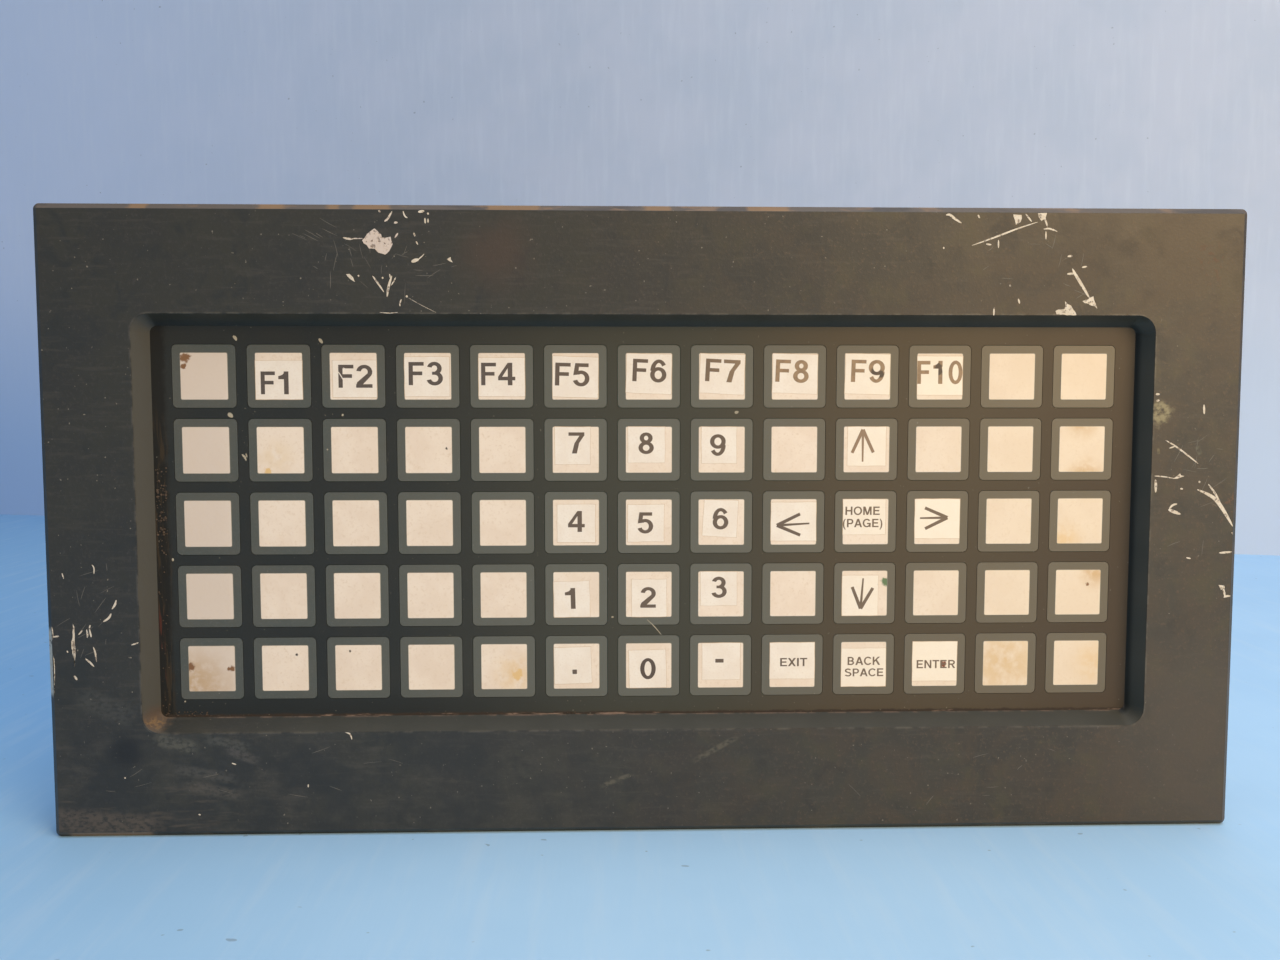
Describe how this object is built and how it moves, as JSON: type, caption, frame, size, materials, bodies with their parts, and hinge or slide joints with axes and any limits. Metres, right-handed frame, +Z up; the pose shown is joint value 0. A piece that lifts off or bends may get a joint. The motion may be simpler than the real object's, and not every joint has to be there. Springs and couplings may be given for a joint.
{
  "type": "operator keypad",
  "caption": "Panel-mount numeric and function keypad: grid of flat relegendable keys in a recessed black bezel, with a rear cover and panel studs.",
  "frame": {"origin": "middle of the gasket's rear face, the plane of the panel that the keypad is fastened to", "axes": "+X to the right of someone facing the keys, +Y back through the panel (the keys face -Y), +Z up"},
  "size_m": [0.308, 0.0425, 0.162],
  "materials": {
    "bezel_paint": "worn matt black paint over a cream moulding",
    "overlay_film": "fine-textured printed polyester film",
    "key_film": "printed grey-green frame on polyester film",
    "spacer_plastic": "natural plastic sheet",
    "spring_steel": "stamped spring steel",
    "board_laminate": "green solder mask on glass laminate",
    "insulating_sheet": "insulating sheet",
    "backplate_aluminium": "mill finish sheet",
    "screw_steel": "zinc plated",
    "gasket_rubber": "closed-cell rubber sheet",
    "stud_steel": "zinc plated",
    "standoff_brass": "turned brass",
    "chip_package": "moulded epoxy",
    "can_metal": "drawn metal can",
    "capacitor_sleeve": "shrink sleeve",
    "header_plastic": "moulded connector plastic",
    "connector_shell": "plated steel shell",
    "cover_paint": "grey powder coat"
  },
  "bodies": {
    "housing": {"bezel": "bezel_paint", "overlay": "overlay_film", "spare_keys": "key_film", "key_spacer": "spacer_plastic", "snap_domes": "spring_steel", "key_board": "board_laminate", "support_sheet": "insulating_sheet", "backplate": "backplate_aluminium", "backplate_screws": "screw_steel", "panel_gasket": "gasket_rubber", "mounting_studs": "stud_steel", "encoder_board": "board_laminate", "board_standoffs": "standoff_brass", "board_screws": "screw_steel", "encoder_chip": "chip_package", "crystal": "can_metal", "board_capacitors": "capacitor_sleeve", "matrix_header": "header_plastic", "matrix_socket": "header_plastic", "data_connector": "connector_shell", "connector_jackscrews": "stud_steel", "rear_cover": "cover_paint", "cover_screws": "screw_steel"},
    "key_top_left_blank": {"key_top_left_blank": "key_film"},
    "key_f1": {"key_f1": "key_film"},
    "key_f2": {"key_f2": "key_film"},
    "key_f3": {"key_f3": "key_film"},
    "key_f4": {"key_f4": "key_film"},
    "key_f5": {"key_f5": "key_film"},
    "key_f6": {"key_f6": "key_film"},
    "key_f7": {"key_f7": "key_film"},
    "key_f8": {"key_f8": "key_film"},
    "key_f9": {"key_f9": "key_film"},
    "key_f10": {"key_f10": "key_film"},
    "key_top_twelfth_blank": {"key_top_twelfth_blank": "key_film"},
    "key_top_right_blank": {"key_top_right_blank": "key_film"},
    "key_7": {"key_7": "key_film"},
    "key_8": {"key_8": "key_film"},
    "key_9": {"key_9": "key_film"},
    "key_left_of_up_blank": {"key_left_of_up_blank": "key_film"},
    "key_up": {"key_up": "key_film"},
    "key_right_of_up_blank": {"key_right_of_up_blank": "key_film"},
    "key_4": {"key_4": "key_film"},
    "key_5": {"key_5": "key_film"},
    "key_6": {"key_6": "key_film"},
    "key_left": {"key_left": "key_film"},
    "key_home": {"key_home": "key_film"},
    "key_right": {"key_right": "key_film"},
    "key_1": {"key_1": "key_film"},
    "key_2": {"key_2": "key_film"},
    "key_3": {"key_3": "key_film"},
    "key_left_of_down_blank": {"key_left_of_down_blank": "key_film"},
    "key_down": {"key_down": "key_film"},
    "key_right_of_down_blank": {"key_right_of_down_blank": "key_film"},
    "key_period": {"key_period": "key_film"},
    "key_0": {"key_0": "key_film"},
    "key_minus": {"key_minus": "key_film"},
    "key_exit": {"key_exit": "key_film"},
    "key_backspace": {"key_backspace": "key_film"},
    "key_enter": {"key_enter": "key_film"}
  },
  "joints": [
    {"name": "key_top_left_blank_press", "type": "slide", "parent": "housing", "child": "key_top_left_blank", "axis": [0, 1, 0], "range_m": [0, 0.0005], "stiffness_N_per_m": 3000},
    {"name": "key_f1_press", "type": "slide", "parent": "housing", "child": "key_f1", "axis": [0, 1, 0], "range_m": [0, 0.0005], "stiffness_N_per_m": 3000},
    {"name": "key_f2_press", "type": "slide", "parent": "housing", "child": "key_f2", "axis": [0, 1, 0], "range_m": [0, 0.0005], "stiffness_N_per_m": 3000},
    {"name": "key_f3_press", "type": "slide", "parent": "housing", "child": "key_f3", "axis": [0, 1, 0], "range_m": [0, 0.0005], "stiffness_N_per_m": 3000},
    {"name": "key_f4_press", "type": "slide", "parent": "housing", "child": "key_f4", "axis": [0, 1, 0], "range_m": [0, 0.0005], "stiffness_N_per_m": 3000},
    {"name": "key_f5_press", "type": "slide", "parent": "housing", "child": "key_f5", "axis": [0, 1, 0], "range_m": [0, 0.0005], "stiffness_N_per_m": 3000},
    {"name": "key_f6_press", "type": "slide", "parent": "housing", "child": "key_f6", "axis": [0, 1, 0], "range_m": [0, 0.0005], "stiffness_N_per_m": 3000},
    {"name": "key_f7_press", "type": "slide", "parent": "housing", "child": "key_f7", "axis": [0, 1, 0], "range_m": [0, 0.0005], "stiffness_N_per_m": 3000},
    {"name": "key_f8_press", "type": "slide", "parent": "housing", "child": "key_f8", "axis": [0, 1, 0], "range_m": [0, 0.0005], "stiffness_N_per_m": 3000},
    {"name": "key_f9_press", "type": "slide", "parent": "housing", "child": "key_f9", "axis": [0, 1, 0], "range_m": [0, 0.0005], "stiffness_N_per_m": 3000},
    {"name": "key_f10_press", "type": "slide", "parent": "housing", "child": "key_f10", "axis": [0, 1, 0], "range_m": [0, 0.0005], "stiffness_N_per_m": 3000},
    {"name": "key_top_twelfth_blank_press", "type": "slide", "parent": "housing", "child": "key_top_twelfth_blank", "axis": [0, 1, 0], "range_m": [0, 0.0005], "stiffness_N_per_m": 3000},
    {"name": "key_top_right_blank_press", "type": "slide", "parent": "housing", "child": "key_top_right_blank", "axis": [0, 1, 0], "range_m": [0, 0.0005], "stiffness_N_per_m": 3000},
    {"name": "key_7_press", "type": "slide", "parent": "housing", "child": "key_7", "axis": [0, 1, 0], "range_m": [0, 0.0005], "stiffness_N_per_m": 3000},
    {"name": "key_8_press", "type": "slide", "parent": "housing", "child": "key_8", "axis": [0, 1, 0], "range_m": [0, 0.0005], "stiffness_N_per_m": 3000},
    {"name": "key_9_press", "type": "slide", "parent": "housing", "child": "key_9", "axis": [0, 1, 0], "range_m": [0, 0.0005], "stiffness_N_per_m": 3000},
    {"name": "key_left_of_up_blank_press", "type": "slide", "parent": "housing", "child": "key_left_of_up_blank", "axis": [0, 1, 0], "range_m": [0, 0.0005], "stiffness_N_per_m": 3000},
    {"name": "key_up_press", "type": "slide", "parent": "housing", "child": "key_up", "axis": [0, 1, 0], "range_m": [0, 0.0005], "stiffness_N_per_m": 3000},
    {"name": "key_right_of_up_blank_press", "type": "slide", "parent": "housing", "child": "key_right_of_up_blank", "axis": [0, 1, 0], "range_m": [0, 0.0005], "stiffness_N_per_m": 3000},
    {"name": "key_4_press", "type": "slide", "parent": "housing", "child": "key_4", "axis": [0, 1, 0], "range_m": [0, 0.0005], "stiffness_N_per_m": 3000},
    {"name": "key_5_press", "type": "slide", "parent": "housing", "child": "key_5", "axis": [0, 1, 0], "range_m": [0, 0.0005], "stiffness_N_per_m": 3000},
    {"name": "key_6_press", "type": "slide", "parent": "housing", "child": "key_6", "axis": [0, 1, 0], "range_m": [0, 0.0005], "stiffness_N_per_m": 3000},
    {"name": "key_left_press", "type": "slide", "parent": "housing", "child": "key_left", "axis": [0, 1, 0], "range_m": [0, 0.0005], "stiffness_N_per_m": 3000},
    {"name": "key_home_press", "type": "slide", "parent": "housing", "child": "key_home", "axis": [0, 1, 0], "range_m": [0, 0.0005], "stiffness_N_per_m": 3000},
    {"name": "key_right_press", "type": "slide", "parent": "housing", "child": "key_right", "axis": [0, 1, 0], "range_m": [0, 0.0005], "stiffness_N_per_m": 3000},
    {"name": "key_1_press", "type": "slide", "parent": "housing", "child": "key_1", "axis": [0, 1, 0], "range_m": [0, 0.0005], "stiffness_N_per_m": 3000},
    {"name": "key_2_press", "type": "slide", "parent": "housing", "child": "key_2", "axis": [0, 1, 0], "range_m": [0, 0.0005], "stiffness_N_per_m": 3000},
    {"name": "key_3_press", "type": "slide", "parent": "housing", "child": "key_3", "axis": [0, 1, 0], "range_m": [0, 0.0005], "stiffness_N_per_m": 3000},
    {"name": "key_left_of_down_blank_press", "type": "slide", "parent": "housing", "child": "key_left_of_down_blank", "axis": [0, 1, 0], "range_m": [0, 0.0005], "stiffness_N_per_m": 3000},
    {"name": "key_down_press", "type": "slide", "parent": "housing", "child": "key_down", "axis": [0, 1, 0], "range_m": [0, 0.0005], "stiffness_N_per_m": 3000},
    {"name": "key_right_of_down_blank_press", "type": "slide", "parent": "housing", "child": "key_right_of_down_blank", "axis": [0, 1, 0], "range_m": [0, 0.0005], "stiffness_N_per_m": 3000},
    {"name": "key_period_press", "type": "slide", "parent": "housing", "child": "key_period", "axis": [0, 1, 0], "range_m": [0, 0.0005], "stiffness_N_per_m": 3000},
    {"name": "key_0_press", "type": "slide", "parent": "housing", "child": "key_0", "axis": [0, 1, 0], "range_m": [0, 0.0005], "stiffness_N_per_m": 3000},
    {"name": "key_minus_press", "type": "slide", "parent": "housing", "child": "key_minus", "axis": [0, 1, 0], "range_m": [0, 0.0005], "stiffness_N_per_m": 3000},
    {"name": "key_exit_press", "type": "slide", "parent": "housing", "child": "key_exit", "axis": [0, 1, 0], "range_m": [0, 0.0005], "stiffness_N_per_m": 3000},
    {"name": "key_backspace_press", "type": "slide", "parent": "housing", "child": "key_backspace", "axis": [0, 1, 0], "range_m": [0, 0.0005], "stiffness_N_per_m": 3000},
    {"name": "key_enter_press", "type": "slide", "parent": "housing", "child": "key_enter", "axis": [0, 1, 0], "range_m": [0, 0.0005], "stiffness_N_per_m": 3000}
  ]
}
